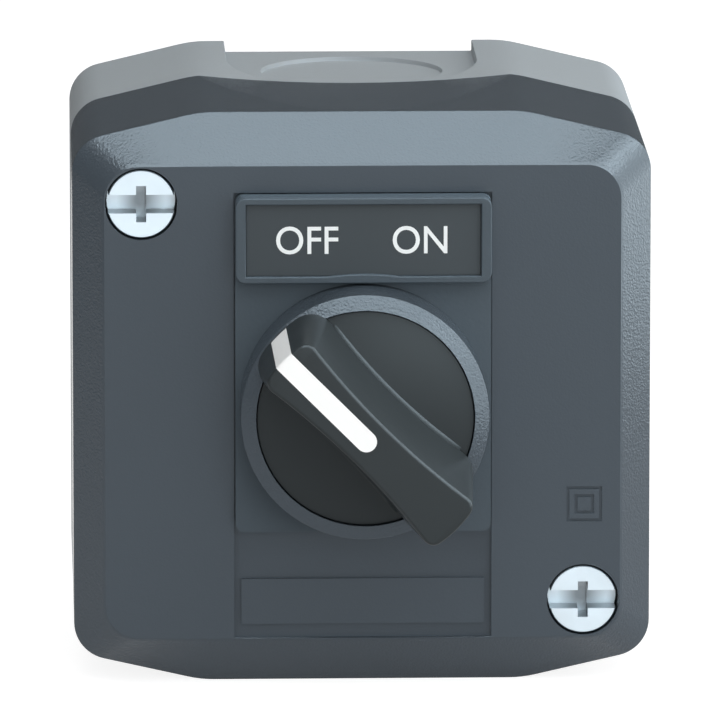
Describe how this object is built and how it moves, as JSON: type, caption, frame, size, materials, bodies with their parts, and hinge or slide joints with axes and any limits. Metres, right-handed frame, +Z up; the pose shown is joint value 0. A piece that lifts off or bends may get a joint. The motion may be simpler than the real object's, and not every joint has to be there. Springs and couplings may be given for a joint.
{
  "type": "control station with selector switch",
  "caption": "Wall-mounted control station: a light back shell, a dark chamfered cover with a label holder, and a rotary selector whose grip works a contact block inside.",
  "frame": {"origin": "on the wall plane, behind the switch axis, at the centre of the back face", "axes": "+X to the right, +Z up, +Y into the wall, so the face and the handle point towards -Y"},
  "size_m": [0.068, 0.0858, 0.068],
  "materials": {
    "shell_light": "light grey, satin",
    "shell_dark": "dark blue-grey, fine moulded grain",
    "handle_plastic": "near black, satin",
    "marker_plastic": "white, smooth",
    "insert_plastic": "dark, flat",
    "seal_rubber": "dark, dull",
    "zinc_steel": "zinc plated",
    "spring_steel": "drawn wire",
    "contact_brass": "stamped",
    "contact_silver": "silver, satin",
    "mechanism_plastic": "grey, plain",
    "pusher_plastic": "black, plain",
    "plunger_plastic": "green, smooth"
  },
  "bodies": {
    "station": {"base": "shell_light", "cover": "shell_dark", "cover_gasket": "seal_rubber", "cover_screws": "zinc_steel", "screw_retainers": "zinc_steel", "legend_holder": "shell_dark", "legend_plate": "insert_plastic", "head_gasket": "seal_rubber", "bezel": "shell_dark", "fixing_nut": "pusher_plastic", "contact_housing": "mechanism_plastic", "contact_side_plate": "mechanism_plastic", "fixed_contact_upper": "contact_brass", "fixed_contact_lower": "contact_brass", "terminal_clamps": "zinc_steel", "terminal_screws": "zinc_steel", "return_spring": "spring_steel"},
    "selector": {"handle": "handle_plastic", "handle_marker": "marker_plastic", "rotor": "mechanism_plastic", "rotor_seal": "seal_rubber", "rotor_clip": "spring_steel", "detent_plungers": "zinc_steel", "detent_spring": "spring_steel"},
    "cam_follower": {"pusher": "pusher_plastic"},
    "contact_carrier": {"contact_plunger": "plunger_plastic", "contact_bridge": "contact_brass", "moving_contacts": "contact_silver", "pressure_spring": "spring_steel"}
  },
  "joints": [
    {"name": "selector_turn", "type": "hinge", "parent": "station", "child": "selector", "pos_m": [0, -0.0652, 0], "axis": [0, 1, 0], "range_deg": [0, 90]},
    {"name": "follower_slide", "type": "slide", "parent": "station", "child": "cam_follower", "axis": [0, 1, 0], "range_m": [0, 0.0041]},
    {"name": "contact_slide", "type": "slide", "parent": "station", "child": "contact_carrier", "axis": [0, 1, 0], "range_m": [0, 0.0041], "deforming": ["return_spring"]}
  ],
  "couplings": [
    {"joint": "follower_slide", "follows": "selector_turn", "m_per_rad": 0.0025465},
    {"joint": "contact_slide", "follows": "selector_turn", "m_per_rad": 0.0025465}
  ]
}
